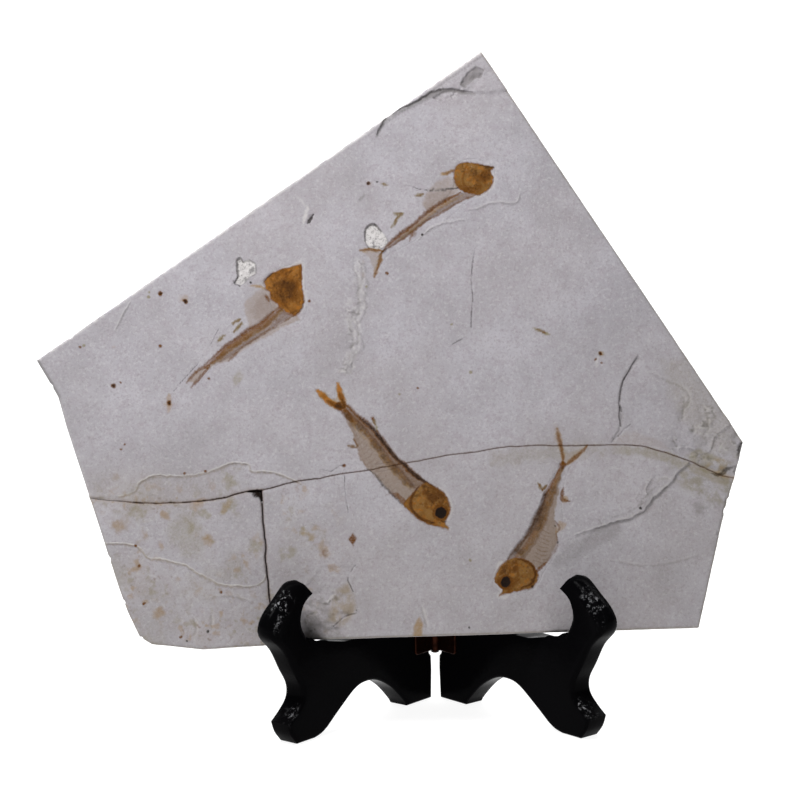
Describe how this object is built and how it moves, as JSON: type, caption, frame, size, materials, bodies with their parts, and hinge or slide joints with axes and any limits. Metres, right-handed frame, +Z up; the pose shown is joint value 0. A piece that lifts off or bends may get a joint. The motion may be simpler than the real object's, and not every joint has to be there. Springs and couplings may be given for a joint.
{
  "type": "fossil fish slab",
  "caption": "Mended slab of pale shale with small fossil fish, leaning in a glossy black hinged display stand.",
  "frame": {"origin": "middle of the base of the whole object's box, on the surface it stands on", "axes": "+Z up, -Y towards the front, where the fish are, +X to the viewer's right"},
  "size_m": [0.2906, 0.0976, 0.2775],
  "materials": {
    "stone": "matt, split along its bedding",
    "fossil": "matt brown bone and scale",
    "lacquered_board": "gloss black lacquer",
    "brass": "dull brass, darkened with age"
  },
  "bodies": {
    "left_wing_and_slab": {"wing_left": "lacquered_board", "hinge_leaf_left": "brass", "hinge_pin": "brass", "screw_left_lower": "brass", "screw_left_upper": "brass", "slab_upper": "stone", "slab_lower_left": "stone", "slab_lower_right": "stone", "fish_top": "fossil", "fish_left": "fossil", "fish_centre_tail": "fossil", "fish_centre_head": "fossil", "fish_lower": "fossil"},
    "right_wing": {"wing_right": "lacquered_board", "hinge_leaf_right": "brass", "screw_right_lower": "brass", "screw_right_upper": "brass"}
  },
  "joints": [
    {"name": "right_wing_hinge", "type": "hinge", "parent": "left_wing_and_slab", "child": "right_wing", "pos_m": [0.01749, 0.02482, 0.0515], "axis": [0, 0, 1], "range_deg": [-40, 0]}
  ]
}
